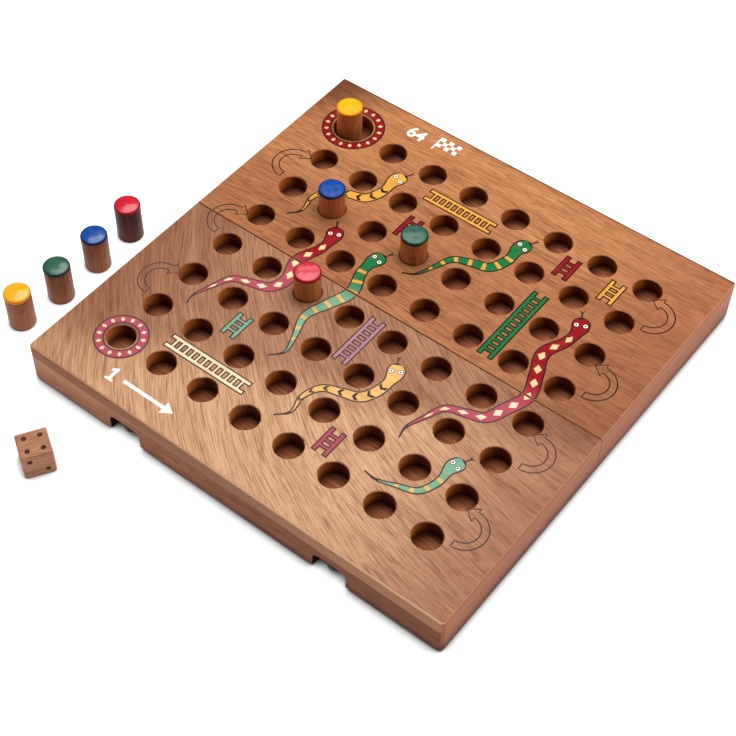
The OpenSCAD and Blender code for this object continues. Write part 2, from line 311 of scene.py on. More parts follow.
def flowing_grain(tree, waver, sweep=0.0):
    """Grain along X on the faces and along the edges on the sides, in mm, and what is a side and an end.

    The sweep turns the fibres towards the front edge, most on the left, as in a board sawn beside a branch.
    """
    place = place_mm(tree)
    x, y, z = parts_of(tree, place)
    normal = facing(tree)
    drift = streaks(tree, place, DRIFT_L, DRIFT_W, DRIFT_SEED, detail=1.0)
    across = reckon(tree, "MULTIPLY_ADD", drift, waver, y)
    if sweep:
        left = reckon(tree, "SUBTRACT", SWEEP_FROM, x)
        bend = times(tree, left, left)
        across = reckon(tree, "MULTIPLY_ADD", bend, -sweep, across)
    end_face = reckon(tree, "GREATER_THAN", unsigned(tree, normal[0]), SIDE_LEAN)
    long_face = reckon(tree, "GREATER_THAN", unsigned(tree, normal[1]), SIDE_LEAN)
    side = reckon(tree, "MAXIMUM", end_face, long_face)
    drifted_z = reckon(tree, "MULTIPLY_ADD", drift, waver * SIDE_DRIFT, z)
    along = add(tree, "Mix", {0: end_face, 2: x, 3: y})
    across = add(tree, "Mix", {0: side, 2: across, 3: drifted_z})
    depth = add(tree, "Mix", {0: side, 2: z, 3: SIDE_DEPTH})
    return add(tree, "CombineXYZ", {0: along, 1: across, 2: depth}), side, end_face


def turned_grain(tree, axis, turn=0.0):
    """Straight grain along an axis of the piece, in mm."""
    spins = {"X": (0.0, 0.0, -turn), "Z": (0.0, math.pi / 2, 0.0)}
    sockets = {0: place_mm(tree), "Rotation": spins[axis]}
    return add(tree, "VectorRotate", sockets, rotation_type="EULER_XYZ")


def off_hole(tree, across):
    """How far a place lies from the middle line of the nearest row of holes, in mm."""
    pitch = HOLE_PITCH / MM
    share = reckon(tree, "FRACT", times(tree, across, 1 / pitch))
    return reckon(tree, "MULTIPLY_ADD", share, pitch, -pitch / 2)


def inside_holes(tree, place):
    """One on the walls of the peg holes, which are the plate's only upright faces away from its outline."""
    x, y, z = parts_of(tree, place)
    deep = unsigned(tree, y)
    reach = EDGE_MM - 2.0
    within_x = reckon(tree, "LESS_THAN", unsigned(tree, x), reach)
    within_y = reckon(tree, "LESS_THAN", deep, reach)
    off_seam = reckon(tree, "GREATER_THAN", deep, 1.0)
    below = between(tree, z, TOP_MM - 0.6, TOP_MM - 0.3, 1.0, 0.0)
    return times(tree, within_x, within_y, off_seam, below)


def on_hole_floor(tree, z):
    """One on the base's upper face, which shows only at the bottom of the holes."""
    high = between(tree, z, GLUE_MM - 0.2, GLUE_MM - 0.05)
    return times(tree, high, between(tree, facing(tree)[2], 0.5, 0.8))


def in_tray(tree, wide, deep, z):
    """One on the routed faces of the trays, with half a millimetre to spare."""
    below = between(tree, z, TRAY_ROOF + 0.5, TRAY_ROOF + 0.9, 1.0, 0.0)
    above = between(tree, z, RIM_MM + 0.2, RIM_MM + 0.6)
    within_x = reckon(tree, "LESS_THAN", wide, TRAY_X + 0.5)
    off_seam = reckon(tree, "GREATER_THAN", deep, TRAY_Y[0] - 0.5)
    within_y = reckon(tree, "LESS_THAN", deep, TRAY_Y[1] + 0.5)
    return times(tree, below, above, within_x, off_seam, within_y)


def in_notch(tree, wide, deep, z):
    """One on the walls of the notches."""
    off = unsigned(tree, reckon(tree, "SUBTRACT", wide, STUD_X_MM))
    within_x = between(tree, off, NOTCH_HALF_W + 0.1, NOTCH_HALF_W + 0.3, 1.0, 0.0)
    below = between(tree, z, RIM_MM + NOTCH_H + 0.1, RIM_MM + NOTCH_H + 0.3, 1.0, 0.0)
    inside = between(tree, deep, EDGE_MM - 0.6, EDGE_MM - 0.1, 1.0, 0.0)
    return times(tree, within_x, below, inside, reckon(tree, "GREATER_THAN", deep, NOTCH_BACK))


def glue_line(tree, x, z, side):
    """Share of the pale line where the plate is glued on the base, which fades to the right."""
    off = unsigned(tree, reckon(tree, "SUBTRACT", z, GLUE_MM))
    line = between(tree, off, 0.5, 1.6, 1.0, 0.0)
    return times(tree, line, side, between(tree, x, *GLUE_FADE))


def arris_masks(tree, x, y):
    """One on the rounded upper edges of the board's outline, then along the front and along the rear."""
    out = reckon(tree, "MAXIMUM", unsigned(tree, x), unsigned(tree, y))
    tilt = facing(tree)[2]
    flat_end = EDGE_MM - 1.6
    outline = between(tree, out, flat_end - 0.3, flat_end + 0.3)
    off_side = between(tree, tilt, 0.25, 0.6)
    off_face = between(tree, tilt, 0.85, 0.99, 1.0, 0.0)
    rounded = times(tree, outline, off_side, off_face)
    front = between(tree, y, 0.2 - flat_end, -0.3 - flat_end)
    return rounded, front, between(tree, y, flat_end - 0.5, flat_end + 0.2)


# Materials

def wood_colour(tree, grain, tones, pore_tone, pore_share, seed, patches=1.0):
    """Oiled open-pored wood: soft bands, fibres, flecks, dark growth lines and pore strokes.

    Gives back the colour, the pores and the fibres. On the real wood these are 0.2 mm wide or less, and
    they are drawn at 0.3 to 0.5 mm, so that they show.
    """
    dark, middle, light = tones
    tone_of = {"dark": dark, "middle": middle, "light": light}
    stops = [(0.3, dark), (0.5, middle), (0.7, light)]
    seen = {}
    for kind, (length, width, step, detail) in STREAKS.items():
        seen[kind] = streaks(tree, grain, length, width, seed + step, detail)
    colour = add(tree, "ValToRGB", {0: seen["bands"]}, stops=stops)
    for kind, tone, *fade in LAYERS:
        colour = tinted(tree, colour, tone_of[tone], between(tree, seen[kind], *fade))
    figure = unsigned(tree, reckon(tree, "SUBTRACT", seen["figure"], 0.5))
    colour = tinted(tree, colour, pore_tone, between(tree, figure, *GROWTH_LINE))
    pore = times(tree, between(tree, seen["pores"], *PORE), patches, pore_share)
    return tinted(tree, colour, pore_tone, pore), pore, seen["fibres"]


def wood_bump(tree, fibres, pore, ridges=None):
    """Raised fibres and sunk pores, and the ridges of a router where there are any."""
    height = reckon(tree, "MULTIPLY_ADD", fibres, FIBRE_RISE, times(tree, pore, PORE_RISE))
    if ridges:
        height = reckon(tree, "ADD", height, ridges)
    return add(tree, "Bump", {"Strength": 0.35, "Distance": 0.12 * MM, "Height": height})


def plate_wood(name, tones, pore_tone, left_tone, right_tone, seam_tint, seed, waver, sweep=0.0,
               dark_corner=0.0):
    """Rain tree wood, planed, drilled and oiled: satin, with brown pores, red hole walls and worn edges.

    The seam tint darkens the face towards the seam: its tone, its slant and where it begins and is full, in
    mm.
    The heart is darker wood towards the seam: its tone, its slant and where it begins and is full, in mm.
    The dark corner is the share of a darker tone at the rear left corner.
    """
    material, tree = begin(name)
    place = place_mm(tree)
    grain, side, end_face = flowing_grain(tree, waver, sweep)
    x, y, z = parts_of(tree, place)
    leftness = between(tree, x, *LEFT_FADE)
    rightness = between(tree, x, *RIGHT_FADE)
    seam_tone, slant, begins, full = seam_tint
    inwards = reckon(tree, "MULTIPLY_ADD", x, slant, y)
    patches = reckon(tree, "MULTIPLY_ADD", rightness, -FEWER_PORES, 1.0)
    colour, pore, fibres = wood_colour(
        tree, grain, tones, pore_tone, pore_share=0.52, seed=seed, patches=patches)
    colour = tinted_where(tree, colour, (left_tone, LEFT_SHARE), leftness, how="MULTIPLY")
    colour = tinted_where(tree, colour, (right_tone, RIGHT_SHARE), rightness, how="MULTIPLY")
    # Tint that darkens the face towards the seam
    colour = tinted(tree, colour, seam_tone, between(tree, inwards, begins, full), "MULTIPLY")
    if dark_corner:
        drift = streaks(tree, grain, length=60.0, width=8.0, seed=seed + 29.0)
        to_corner = reckon(tree, "MULTIPLY_ADD", drift, CORNER_RAGGED, reckon(tree, "SUBTRACT", y, x))
        share = between(tree, to_corner, CORNER_FROM, CORNER_FULL, 0.0, dark_corner)
        colour = tinted(tree, colour, REAR_CORNER_TONE, share)

    walls = inside_holes(tree, place)
    outer_side = add(tree, "Math", {0: side, 1: walls}, operation="SUBTRACT", use_clamp=True)
    side_tone = add(tree, "ValToRGB", {0: between(tree, x, *SIDES_FADE)}, stops=PLATE_SIDES)
    colour = tinted_where(tree, colour, (side_tone, SIDES_SHARE), outer_side)
    colour = tinted_where(tree, colour, PLATE_END, end_face, outer_side)
    # Painted light and shade on the hole walls: lit towards their left, shaded elsewhere, and darker deeper
    # down
    wall_tone = tinted(tree, HOLE_LIT, HOLE_SHADED, between(tree, off_hole(tree, x), *WALL_SHADE))
    colour = tinted_where(tree, colour, (wall_tone, WALL_SHARE), walls)
    colour = tinted(tree, colour, HOLE_DEEP_SHADE, times(tree, walls, between(tree, z, *HOLE_DEPTH)))
    colour = tinted(tree, colour, PALE_GLUE, glue_line(tree, x, z, outer_side))
    # Painted highlights: a light tint on all the rounded upper edges, stronger along the front edge; the
    # rear arris is darkened
    arris, front_arris, rear_arris = arris_masks(tree, x, y)
    colour = tinted_where(tree, colour, SOFT_ARRIS_HIGHLIGHT, arris)
    front_highlight = times(tree, arris, front_arris, between(tree, x, *FRONT_HIGHLIGHT_FADE))
    colour = tinted(tree, colour, ARRIS_HIGHLIGHT, front_highlight)
    colour = tinted_where(tree, colour, REAR_ARRIS, rear_arris)
    surface(tree, {"Base Color": colour, "Roughness": between(tree, fibres, *FINE, 0.36, 0.5),
                   "Normal": wood_bump(tree, fibres, pore), "Specular IOR Level": 0.08})
    return material


def base_wood(name, tones, seed):
    """The same wood under the plates: near black in the notches, a painted shade, and pale and ridged in the
    routed trays.

    The ridges lie 3.5 mm apart, as the passes of a router leave them.
    """
    material, tree = begin(name)
    place = place_mm(tree)
    grain, side, end_face = flowing_grain(tree, waver=9.0)
    colour, pore, fibres = wood_colour(tree, grain, tones, BASE_PORES, pore_share=0.6, seed=seed)
    x, y, z = parts_of(tree, place)
    wide = unsigned(tree, x)
    deep = unsigned(tree, y)
    tray = in_tray(tree, wide, deep, z)
    colour = tinted_where(tree, colour, FRESH_CUT, tray)
    # Painted shadow on the hole floors, darkest towards the left and the rear
    floor = on_hole_floor(tree, z)
    shade_x = times(tree, off_hole(tree, x), SHADE_X)
    shade = reckon(tree, "MULTIPLY_ADD", off_hole(tree, y), SHADE_Y, shade_x)
    colour = tinted(tree, colour, HOLE_FLOOR_SHADOW, times(tree, floor, between(tree, shade, *FLOOR_SHADE)))

    colour = tinted_where(tree, colour, BASE_RIGHT, side, between(tree, x, *BASE_RIGHT_FADE))
    colour = tinted_where(tree, colour, BASE_END, end_face)
    pale = times(tree, side, between(tree, x, *BASE_LEFT_FADE), between(tree, z, *BASE_LEFT_RISE))
    colour = tinted(tree, colour, BASE_LEFT, pale)
    colour = tinted(tree, colour, PALE_GLUE, glue_line(tree, x, z, side))
    # Painted shade near the table: the sides darker towards their foot, the end faces up to a greater height
    foot = times(tree, side, between(tree, z, *FOOT_RISE), between(tree, x, *FOOT_FADE))
    colour = tinted(tree, colour, FOOT_SHADE, foot)
    end_foot_shade = times(tree, end_face, between(tree, z, *END_FOOT_RISE), between(tree, y, *END_FOOT_FADE))
    colour = tinted(tree, colour, END_FOOT_SHADE, end_foot_shade)
    # Painted shade in the notches: their walls near black
    notch = in_notch(tree, wide, deep, z)
    colour = tinted_where(tree, colour, NOTCH_SHADE, notch)

    passes = add(tree, "TexWave", {"Vector": place, "Scale": 0.09, "Distortion": 0.6, "Detail": 1.0},
                 wave_type="BANDS", bands_direction="Y", output="Fac")
    ridges = times(tree, passes, tray, 0.8)
    dull = reckon(tree, "MAXIMUM", floor, notch)
    rough = between(tree, fibres, *FINE, 0.42, 0.56)
    rough = reckon(tree, "MAXIMUM", rough, times(tree, dull, 0.9))
    surface(tree, {"Base Color": colour, "Roughness": rough, "Specular IOR Level": 0.06,
                   "Normal": wood_bump(tree, fibres, pore, ridges)})
    return material


def peg_wood(name, tones, pore_tone, seed):
    """Turned dowel, oiled, with upright streaks."""
    material, tree = begin(name)
    grain = turned_grain(tree, "Z")
    colour, pore, fibres = wood_colour(tree, grain, tones, pore_tone, pore_share=0.35, seed=seed)
    surface(tree, {"Base Color": colour, "Roughness": between(tree, fibres, *FINE, 0.36, 0.5),
                   "Normal": wood_bump(tree, fibres, pore), "Specular IOR Level": 0.12})
    return material


def die_wood(name, tones, turn, seed):
    """Pale sanded wood with long grain, and burnt pips: black at their edge, brown in their middle."""
    material, tree = begin(name)
    grain = turned_grain(tree, "X", turn)
    colour, pore, fibres = wood_colour(tree, grain, tones, "#7a472c", pore_share=0.6, seed=seed)
    burn = add(tree, "Attribute", output="Fac", attribute_name="burn")
    colour = tinted(tree, colour, CHAR, between(tree, burn, 0.15, 0.6))
    colour = tinted(tree, colour, CHAR_MIDDLE, between(tree, burn, 0.8, 1.0, 0.0, 0.8))
    surface(tree, {"Base Color": colour, "Roughness": between(tree, burn, 0.1, 0.7, 0.46, 0.7),
                   "Normal": wood_bump(tree, fibres, pore), "Specular IOR Level": 0.25})
    return material


def gloss_paint(name, tone, rim_tone, shine):
    """Enamel brushed on the end of a peg: thick and glossy, gathered darker and duller along the edge."""
    material, tree = begin(name)
    place = place_mm(tree)
    rim = add(tree, "Attribute", output="Fac", attribute_name="rim")
    mottle = add(tree, "TexNoise", {"Vector": place, "Scale": 0.35, "Detail": 3.0})
    colour = tinted(tree, tone, rim_tone, between(tree, mottle, 0.4, 0.75, 0.0, 0.35))
    colour = tinted(tree, colour, rim_tone, between(tree, rim, 0.8, 0.92, 0.0, 0.95))
    brushed = add(tree, "TexNoise", {"Vector": place, "Scale": 0.6, "Detail": 1.0})
    bump = add(tree, "Bump", {"Strength": 0.25, "Distance": 0.25 * MM, "Height": brushed})
    rough = between(tree, rim, 0.8, 0.93, 0.22, 0.45)
    gloss = between(tree, rim, 0.8, 0.92, shine, 0.1)
    surface(tree, {"Base Color": colour, "Roughness": rough, "Specular IOR Level": gloss, "IOR": 1.5,
                   "Normal": bump})
    return material


def screen_ink(name, tone, sheen_tone, show_through, seed):
    """Screen-printed ink: a thin matt film that leaves the pores open, paler on the front half, where the
    paler tone is a painted sheen.

    The open pores are drawn near 0.5 mm wide, coarser than the wood's own, so that they show.
    """
    thin_tone, pore_tone = "#8a5233", "#4a2617"
    material, tree = begin(name)
    grain, _, _ = flowing_grain(tree, waver=10.0)
    lines = streaks(tree, grain, length=14.0, width=0.9, seed=seed)
    place = place_mm(tree)
    thin = add(tree, "TexNoise", {"Vector": place, "Scale": 0.12, "Detail": 4.0})
    y = parts_of(tree, place)[1]
    # Painted sheen: the ink's paler front tone gives way to its own tone across the seam
    colour = tinted(tree, sheen_tone, tone, between(tree, y, *INK_FADE))
    colour = tinted(tree, colour, thin_tone, between(tree, thin, 0.45, 0.8, 0.0, show_through))
    colour = tinted(tree, colour, pore_tone, between(tree, lines, 0.55, 0.7, 0.0, show_through))
    rough = between(tree, lines, *FINE, 0.42, 0.6)
    surface(tree, {"Base Color": colour, "Roughness": rough, "Specular IOR Level": 0.06})
    return material


def rolled_brass():
    """Rolled brass sheet, bent and drilled: dull stains, and lines of the roll.

    The lines are drawn near 0.1 mm wide, coarser than real ones, so that they show.
    """
    material, tree = begin("rolled_brass")
    place = place_mm(tree)
    lines = streaks(tree, place, length=12.0, width=0.18, seed=2.0)
    stains = add(tree, "TexNoise", {"Vector": place, "Scale": 0.25, "Detail": 4.0})
    tones = [(0.3, "#8a6428"), (0.55, "#c79a4a"), (0.8, "#d9b567")]
    colour = add(tree, "ValToRGB", {0: stains}, stops=tones)
    rough = between(tree, lines, *FINE, 0.24, 0.42)
    bump = add(tree, "Bump", {"Strength": 0.2, "Distance": 0.03 * MM, "Height": lines})
    surface(tree, {"Base Color": colour, "Metallic": 1.0, "Roughness": rough, "Normal": bump})
    return material


def bronzed_steel():
    """Turned steel with a dark bronzed finish, and a painted highlight in the middle of the head."""
    material, tree = begin("bronzed_steel")
    place = place_mm(tree)
    x, _, z = parts_of(tree, place)
    off_x = reckon(tree, "SUBTRACT", unsigned(tree, x), STUD_X_MM)
    off_z = reckon(tree, "SUBTRACT", z, STUD_Z_MM)
    off = add(tree, "CombineXYZ", {0: off_x, 1: off_z})
    radius = add(tree, "VectorMath", {0: off}, output="Value", operation="LENGTH")
    specks = add(tree, "TexNoise", {"Vector": place, "Scale": 1.6, "Detail": 4.0})
    colour = add(tree, "ValToRGB", {0: specks}, stops=[(0.3, "#1a1210"), (0.7, "#33261f")])
    # Painted highlight in the middle of the head
    middle_highlight = between(tree, radius, 0.6, 2.2, 0.6, 0.0)
    colour = tinted(tree, colour, "#6a5246", middle_highlight)
    rough = between(tree, specks, *FINE, 0.32, 0.5)
    surface(tree, {"Base Color": colour, "Metallic": 0.7, "Roughness": rough})
    return material


def black_rubber():
    """Moulded rubber, matt and a little dusty."""
    material, tree = begin("black_rubber")
    dust = add(tree, "TexNoise", {"Vector": place_mm(tree), "Scale": 1.2, "Detail": 5.0})
    colour = add(tree, "ValToRGB", {0: dust}, stops=[(0.35, "#0f0d0c"), (0.75, "#2c2825")])
    bump = add(tree, "Bump", {"Strength": 0.3, "Distance": 0.05 * MM, "Height": dust})
    surface(tree, {"Base Color": colour, "Roughness": 0.72, "Normal": bump, "IOR": 1.52})
    return material


# Meshes

def make_piece(name, bm, materials, body):
    """A new piece that rides on a body."""
    bmesh.ops.recalc_face_normals(bm, faces=bm.faces)
    mesh = bpy.data.meshes.new(name)
    bm.to_mesh(mesh)
    bm.free()
    for material in materials:
        mesh.materials.append(material)
    piece = bpy.data.objects.new(name, mesh)
    bpy.context.scene.collection.objects.link(piece)
    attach(piece, body)
    return piece


def level(layer):
    """Height of the top of a layer of ink, with the lowest layer at zero."""
    return TOP + INK * (layer + 1)


def slab(bm, outline, layer, ink):
    """A closed film of ink with the given outline."""
    low = level(layer - 1)
    below = [bm.verts.new((x, y, low)) for x, y in outline]
    above = [bm.verts.new((x, y, low + INK)) for x, y in outline]
    faces = [bm.faces.new(above), bm.faces.new(below[::-1])]
    for k in range(len(outline)):
        faces.append(bm.faces.new((below[k - 1], below[k], above[k], above[k - 1])))
    for face in faces:
        face.material_index = ink


def ribbon(bm, path, half_widths, layer, ink, closed=False):
    """A closed film of ink along a path."""
    low = level(layer - 1)
    across = sideways(path, closed) * np.reshape(half_widths, (-1, 1))
    rails = []
    for edge in (path - across, path + across):
        for z in (low, low + INK):
            rails.append([bm.verts.new((x, y, z)) for x, y in edge])
    ring = [rails[0], rails[1], rails[3], rails[2]]
    faces = []
    for k in range(0 if closed else 1, len(path)):
        for a, b in zip(ring, ring[1:] + ring[:1]):
            faces.append(bm.faces.new((a[k - 1], a[k], b[k], b[k - 1])))
    if not closed:
        for k in (0, -1):
            faces.append(bm.faces.new([rail[k] for rail in ring]))
    for face in faces:
        face.material_index = ink


def sideways(path, closed=False):
    """Unit vectors across a path, to its left."""
    if closed:
        along = np.roll(path, -1, 0) - np.roll(path, 1, 0)
    else:
        along = np.gradient(path, axis=0)
    along = along / np.linalg.norm(along, axis=1)[:, None]
    return np.c_[-along[:, 1], along[:, 0]]


def smooth_path(points, step):
    """Evenly spaced points on a smooth curve through the given ones."""
    steps = 24
    ends = [2 * points[0] - points[1], *points, 2 * points[-1] - points[-2]]
    fine = []
    for a, b, c, d in zip(ends, ends[1:], ends[2:], ends[3:]):
        for t in np.linspace(0, 1, steps, endpoint=False):
            bend = (2 * a - 5 * b + 4 * c - d) * t ** 2 + (3 * b - a - 3 * c + d) * t ** 3
            fine.append((2 * b + (c - a) * t + bend) / 2)
    fine = np.array(fine + [points[-1]])
    gone = np.r_[0, np.cumsum(np.linalg.norm(np.diff(fine, axis=0), axis=1))]
    even = np.linspace(0, gone[-1], round(gone[-1] / step) + 1)
    return np.c_[np.interp(even, gone, fine[:, 0]), np.interp(even, gone, fine[:, 1])]


def circle(centre, radius, count):
    """Points on a circle."""
    angles = np.arange(count) * 2 * math.pi / count
    return np.array(centre) + radius * np.c_[np.cos(angles), np.sin(angles)]


def lanes(points):
    """Places between the holes: whole numbers are the middles of four holes, from the front left ones."""
    return (np.array(points, float) - 3) * HOLE_PITCH


def print_on_board(name, bm, inks):
    """Makes printed pieces of a drawing, cut along the seam where it crosses it."""
    ys = [v.co.y for v in bm.verts]
    for half, sign in (("front", -1), ("rear", 1)):
        if max(sign * y for y in ys) <= 0:
            continue
        part = bm.copy()
        whole = min(sign * y for y in ys) > 0
        if not whole:
            geometry = part.verts[:] + part.edges[:] + part.faces[:]
            bmesh.ops.bisect_plane(part, geom=geometry, plane_co=(0, sign * SEAM_CLEAR, 0),
                                   plane_no=(0, -sign, 0), clear_outer=True)
            open_edges = [e for e in part.edges if e.is_boundary]
            bmesh.ops.holes_fill(part, edges=open_edges)
        make_piece(name if whole else f"{name}_{half}", part, inks, f"{half}_half")
    bm.free()


# Drawings on the playing face

def snake_half_widths(gone, length):
    """Half the width of a snake at each distance from its snout."""
    snout, neck, body = 5.2 * MM, 14 * MM, 34 * MM
    head_w, neck_w, body_w, tail_l = 4.9 * MM, 3.1 * MM, 3.9 * MM, 58 * MM
    blunt, tail_tip, taper = 0.02, 0.06, 0.75
    nose = head_w * np.sqrt(np.clip(1 - ((gone - snout) / snout) ** 2, blunt, 1))
    turn = math.pi * np.clip((gone - snout) / (neck - snout), 0, 1)
    cheek = neck_w + (head_w - neck_w) * (1 + np.cos(turn)) / 2
    swell = neck_w + (body_w - neck_w) * np.clip((gone - neck) / (body - neck), 0, 1)
    width = np.where(gone < snout, nose, np.where(gone < neck, cheek, swell))
    return width * np.clip((length - gone) / tail_l, tail_tip, 1) ** taper


def snake(name, skin, marking, pattern, stations):
    """A wavy snake along the lanes, from its snout to its tail."""
    dark, fill, mark, white = range(4)
    first_mark, tail_clear, thinnest = 17 * MM, 14 * MM, 0.1 * MM
    eye_at, eye_side = 5.4 * MM, 0.56
    eye_rings = ((1.5 * MM, 20, dark), (1.15 * MM, 16, white), (0.55 * MM, 12, dark))
    tongue_from, tongue_l, tongue_w = 0.1 * MM, 2.6 * MM, 0.4 * MM
    fork_from, fork_l, fork_out, fork_w, fork_tip = 0.05 * MM, 1.9 * MM, 1.1 * MM, 0.38 * MM, 0.15 * MM
    path = smooth_path(lanes(stations), INK_STEP)
    length = np.linalg.norm(np.diff(path, axis=0), axis=1).sum()
    gone = np.linspace(0, length, len(path))
    outer = snake_half_widths(gone, length)
    across = sideways(path)

    def on_back(distance, share):
        """A point at a distance from the snout, at a share of the half width beside the spine."""
        k = np.clip(distance / length, 0, 1) * (len(path) - 1)
        at = [np.interp(k, range(len(path)), path[:, n]) for n in (0, 1)]
        side = [np.interp(k, range(len(path)), across[:, n]) for n in (0, 1)]
        reach = max(np.interp(distance, gone, outer) - OUTLINE, 0) * share
        return (at[0] + side[0] * reach, at[1] + side[1] * reach)

    bm = bmesh.new()
    ribbon(bm, path, outer, 0, dark)
    inner = outer - OUTLINE
    shown = inner > thinnest
    shown[0] = False
    ribbon(bm, path[shown], inner[shown], 1, fill)
    spacing, mark_l = pattern["spacing"] * MM, pattern["length"] * MM
    for distance in np.arange(first_mark, length - tail_clear, spacing):
        slab(bm, [on_back(distance + s * mark_l, t) for s, t in pattern["shape"]], 2, mark)
    for side in (-1, 1):
        eye = np.array(on_back(eye_at, side * eye_side))
        for layer, (radius, count, ink) in enumerate(eye_rings, 2):
            slab(bm, circle(eye, radius, count), layer, ink)
    ahead = path[0] - path[1]
    ahead = ahead / np.linalg.norm(ahead)
    beside = np.array((-ahead[1], ahead[0]))
    fork = path[0] + ahead * tongue_l
    ribbon(bm, np.array((path[0] + ahead * tongue_from, fork)), [tongue_w, tongue_w], 0, dark)
    for side in (-1, 1):
        tip = fork + ahead * fork_l + beside * side * fork_out
        ribbon(bm, np.array((fork + ahead * fork_from, tip)), [fork_w, fork_tip], 1, dark)
    print_on_board(name, bm, [INKS["outline"], INKS[skin], INKS[marking], INKS["white"]])


def ladder(name, start, end, ink):
    """A straight ladder along a lane."""
    rail_at, rail_w, rung_w, rung_step = 3.2 * MM, 1.6 * MM, 1.0 * MM, 3.9 * MM
    foot, head = lanes([start, end])
    length = np.linalg.norm(head - foot)
    up = (head - foot) / length
    right = np.array((up[1], -up[0]))

    def bar(low, high, left, wide, layer, colour):
        corners = ((low, left), (low, wide), (high, wide), (high, left))
        slab(bm, [foot + up * a + right * b for a, b in corners], layer, colour)

    dark, fill = range(2)
    bm = bmesh.new()
    edge = rail_w / 2 + OUTLINE
    for side in (-1, 1):
        bar(-OUTLINE, length + OUTLINE, side * rail_at - edge, side * rail_at + edge, 0, dark)
        bar(0, length, side * rail_at - rail_w / 2, side * rail_at + rail_w / 2, 1, fill)
    rungs = max(2, round(length / rung_step) - 1)
    for k in range(rungs):
        at = length * (k + 1) / (rungs + 1)
        half = rung_w / 2
        inside = rail_at - edge
        bar(at - half - OUTLINE, at + half + OUTLINE, -inside, inside, 0, dark)
        bar(at - half, at + half, -rail_at + rail_w / 2, rail_at - rail_w / 2, 1, fill)
    print_on_board(name, bm, [INKS["outline"], INKS[ink]])


def hole_ring(name, centre, mouth, studs):
    """A red ring round the first or the last hole, with a row of pale lozenges on it."""
    inner, outer = mouth + 0.7 * MM, mouth + 6.2 * MM
    middle, half = (inner + outer) / 2, (outer - inner) / 2
    lozenge_l, lozenge_w, count = 1.5 * MM, 1.1 * MM, 96
    bm = bmesh.new()
    dark, fill, mark = range(3)
    round_path = circle(centre, middle, count)
    ribbon(bm, round_path, np.full(count, half), 0, dark, closed=True)
    ribbon(bm, round_path, np.full(count, half - OUTLINE), 1, fill, closed=True)
    for angle in np.arange(studs) * 2 * math.pi / studs:
        out = np.array((math.cos(angle), math.sin(angle)))
        long, wide = out * lozenge_l, np.array((-out[1], out[0])) * lozenge_w
        at = centre + out * middle
        slab(bm, [at + long, at + wide, at - long, at - wide], 2, mark)
    print_on_board(name, bm, [INKS["outline"], INKS["red"], INKS["cream"]])


def turn_arrow(name, side, row):
    """The outline of an arrow that turns from a row to the next one at the side of the board."""
    bend_r, half, head_l, head_half = 9.5 * MM, 1.9 * MM, 5.5 * MM, 4.2 * MM
    beyond, line_half, count = 11 * MM, 0.32 * MM, 25
    centre = np.array((side * (LAST_COLUMN_X + beyond), (row - 3) * HOLE_PITCH))

    def at(angle, radius, further=0.0):
        x = side * (radius * math.cos(angle) - further)
        return centre + np.array((x, radius * math.sin(angle)))

    sweep = np.linspace(-math.pi / 2, math.pi / 2, count)
    outer = [at(a, bend_r + half) for a in sweep]
    inner = [at(a, bend_r - half) for a in sweep[::-1]]
    head = [at(math.pi / 2, bend_r + head_half), at(math.pi / 2, bend_r, head_l),
            at(math.pi / 2, bend_r - head_half)]
    contour = np.array(outer + head + inner)
    bm = bmesh.new()
    ribbon(bm, contour, np.full(len(contour), line_half), 0, 0, closed=True)
    print_on_board(name, bm, [INKS["outline"]])


def start_and_end_marks():
    """White marks in the margin: square 1 with an arrow to the next hole, and square 64 with a flag."""
    margin_y = BOARD_EDGE - 13 * MM
    one_x, shaft, tip, number_x, pole = -81 * MM, -74 * MM, -42 * MM, -72 * MM, -53 * MM
    half, barb, wing = 1.0 * MM, 6 * MM, 3.8 * MM
    height, number_foot = 11 * MM, 0.36
    check, pole_l, pole_w = 2.6 * MM, 11 * MM, 0.8 * MM
    bm = bmesh.new()
    one = [(-2.4, -4.2), (2.4, -4.2), (2.4, -2.9), (0.9, -2.9), (0.9, 4.2), (-0.4, 4.2), (-2.6, 2.6),
           (-2.6, 1.1), (-0.9, 2.1), (-0.9, -2.9), (-2.4, -2.9)]
    slab(bm, [(x * MM + one_x, y * MM - margin_y) for x, y in one], 0, 0)
    arrow = [(shaft, -half), (tip - barb, -half), (tip - barb, -wing), (tip, 0),
             (tip - barb, wing), (tip - barb, half), (shaft, half)]
    slab(bm, [(x, y - margin_y) for x, y in arrow], 0, 0)
    print_on_board("first_square_mark", bm, [INKS["white"]])
    bm = bmesh.new()
    add_number(bm, "64", (number_x, margin_y), height)
    foot = margin_y - height * number_foot
    top = foot + pole_l
    slab(bm, [(pole - pole_w, foot), (pole, foot), (pole, top), (pole - pole_w, top)], 0, 0)
    for column in range(5):
        for row in range(3):
            if (column + row) % 2 == 0:
                x, y = pole + column * check, top - (row + 1) * check
                slab(bm, [(x, y), (x + check, y), (x + check, y + check), (x, y + check)], 0, 0)
    print_on_board("last_square_mark", bm, [INKS["white"]])


def add_number(bm, text, at, height):
    """Adds a plain number in ink, with its left end and its middle height at a place."""
    bolder, weld = 0.022, 0.001 * MM
    curve = bpy.data.curves.new("number", "FONT")
    curve.body = text
    curve.size = height
    curve.align_y = "CENTER"
    curve.extrude = INK / 2
    curve.offset = height * bolder
    figures = bpy.data.objects.new("number", curve)
    bpy.context.scene.collection.objects.link(figures)
    figures.location = (at[0], at[1], level(0) - INK / 2)
    graph = bpy.context.evaluated_depsgraph_get()
    mesh = bpy.data.meshes.new_from_object(figures.evaluated_get(graph))
    mesh.transform(figures.matrix_world)
    bm.from_mesh(mesh)
    bmesh.ops.remove_doubles(bm, verts=bm.verts, dist=weld)
    bpy.data.objects.remove(figures)
    bpy.data.curves.remove(curve)
    bpy.data.meshes.remove(mesh)


# Pegs and die

